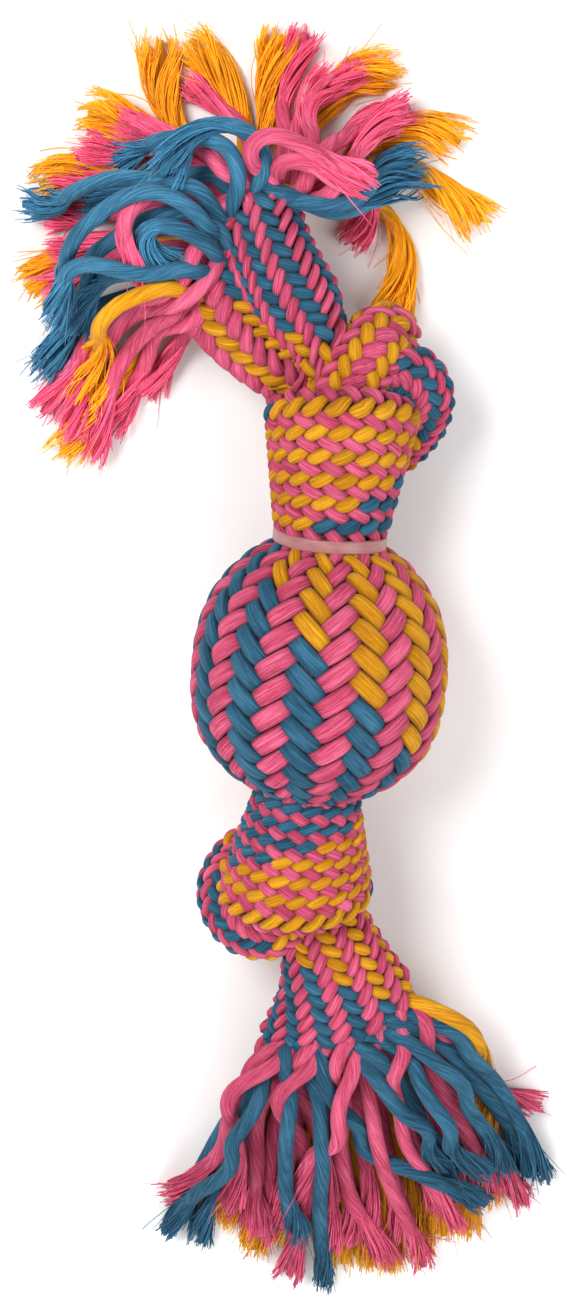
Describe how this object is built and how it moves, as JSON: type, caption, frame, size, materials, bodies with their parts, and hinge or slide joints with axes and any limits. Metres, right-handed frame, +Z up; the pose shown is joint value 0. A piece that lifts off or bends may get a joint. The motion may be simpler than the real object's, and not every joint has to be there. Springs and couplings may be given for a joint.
{
  "type": "rope dog toy",
  "caption": "Braided cotton rope tug toy with a rubber ball worked into the braid, an overhand knot against each side of the ball and a frayed tassel at each end.",
  "frame": {"origin": "middle of the small flat on the ball's underside, on the surface that the toy lies on", "axes": "+Y along the rope towards the end with the clear band, +X across the toy, +Z up from the surface it lies on"},
  "size_m": [0.1395, 0.3394, 0.0645],
  "materials": {
    "pink_cotton": "soft twisted cotton, bright pink",
    "blue_cotton": "soft twisted cotton, teal blue",
    "yellow_cotton": "soft twisted cotton, golden yellow",
    "rubber_core": "matt moulded rubber",
    "clear_band": "frosted clear elastomer"
  },
  "bodies": {
    "ball": {"ball_core": "rubber_core", "ball_cover": "pink_cotton"},
    "upper_knot": {"neck_band": "clear_band", "upper_neck": "pink_cotton", "upper_collar": "yellow_cotton", "upper_crown": "blue_cotton"},
    "upper_tail": {"upper_tail": "pink_cotton", "upper_strand_pair_01": "blue_cotton", "upper_strand_pair_02": "pink_cotton", "upper_strand_pair_03": "pink_cotton", "upper_strand_pair_04": "yellow_cotton", "upper_strand_pair_05": "yellow_cotton", "upper_strand_pair_06": "yellow_cotton", "upper_strand_pair_07": "yellow_cotton", "upper_strand_pair_08": "yellow_cotton", "upper_strand_pair_09": "yellow_cotton", "upper_strand_pair_10": "yellow_cotton", "upper_strand_pair_11": "yellow_cotton", "upper_strand_pair_12": "yellow_cotton", "upper_strand_pair_13": "yellow_cotton", "upper_strand_pair_14": "yellow_cotton", "upper_strand_pair_15": "pink_cotton", "upper_strand_pair_16": "blue_cotton", "upper_strand_pair_17": "pink_cotton", "upper_strand_pair_18": "blue_cotton", "upper_strand_pair_19": "blue_cotton", "upper_strand_pair_20": "pink_cotton", "upper_strand_pair_21": "blue_cotton", "upper_strand_pair_22": "blue_cotton", "upper_strand_pair_23": "blue_cotton", "upper_strand_pair_24": "blue_cotton"},
    "lower_knot": {"lower_neck": "pink_cotton", "lower_collar": "yellow_cotton", "lower_crown": "blue_cotton"},
    "lower_tail": {"lower_tail": "pink_cotton", "lower_strand_pair_01": "blue_cotton", "lower_strand_pair_02": "pink_cotton", "lower_strand_pair_03": "yellow_cotton", "lower_strand_pair_04": "yellow_cotton", "lower_strand_pair_05": "yellow_cotton", "lower_strand_pair_06": "yellow_cotton", "lower_strand_pair_07": "yellow_cotton", "lower_strand_pair_08": "yellow_cotton", "lower_strand_pair_09": "yellow_cotton", "lower_strand_pair_10": "yellow_cotton", "lower_strand_pair_11": "yellow_cotton", "lower_strand_pair_12": "yellow_cotton", "lower_strand_pair_13": "blue_cotton", "lower_strand_pair_14": "blue_cotton", "lower_strand_pair_15": "pink_cotton", "lower_strand_pair_16": "blue_cotton", "lower_strand_pair_17": "blue_cotton", "lower_strand_pair_18": "blue_cotton", "lower_strand_pair_19": "blue_cotton", "lower_strand_pair_20": "pink_cotton", "lower_strand_pair_21": "blue_cotton", "lower_strand_pair_22": "blue_cotton", "lower_strand_pair_23": "blue_cotton", "lower_strand_pair_24": "yellow_cotton"}
  },
  "joints": [
    {"name": "upper_neck_bend", "type": "hinge", "parent": "ball", "child": "upper_knot", "pos_m": [0.0025, 0.0335, 0.032], "axis": [0, 0, 1], "range_deg": [-12, 12]},
    {"name": "upper_tail_bend", "type": "hinge", "parent": "upper_knot", "child": "upper_tail", "pos_m": [-0.0015, 0.0752, 0.0325], "axis": [0, 0, 1], "range_deg": [-10, 20]},
    {"name": "lower_neck_bend", "type": "hinge", "parent": "ball", "child": "lower_knot", "pos_m": [-0.0031, -0.0335, 0.032], "axis": [0, 0, 1], "range_deg": [-12, 12]},
    {"name": "lower_tail_bend", "type": "hinge", "parent": "lower_knot", "child": "lower_tail", "pos_m": [0.0008, -0.0658, 0.032], "axis": [0, 0, 1], "range_deg": [-8, 20]}
  ]
}
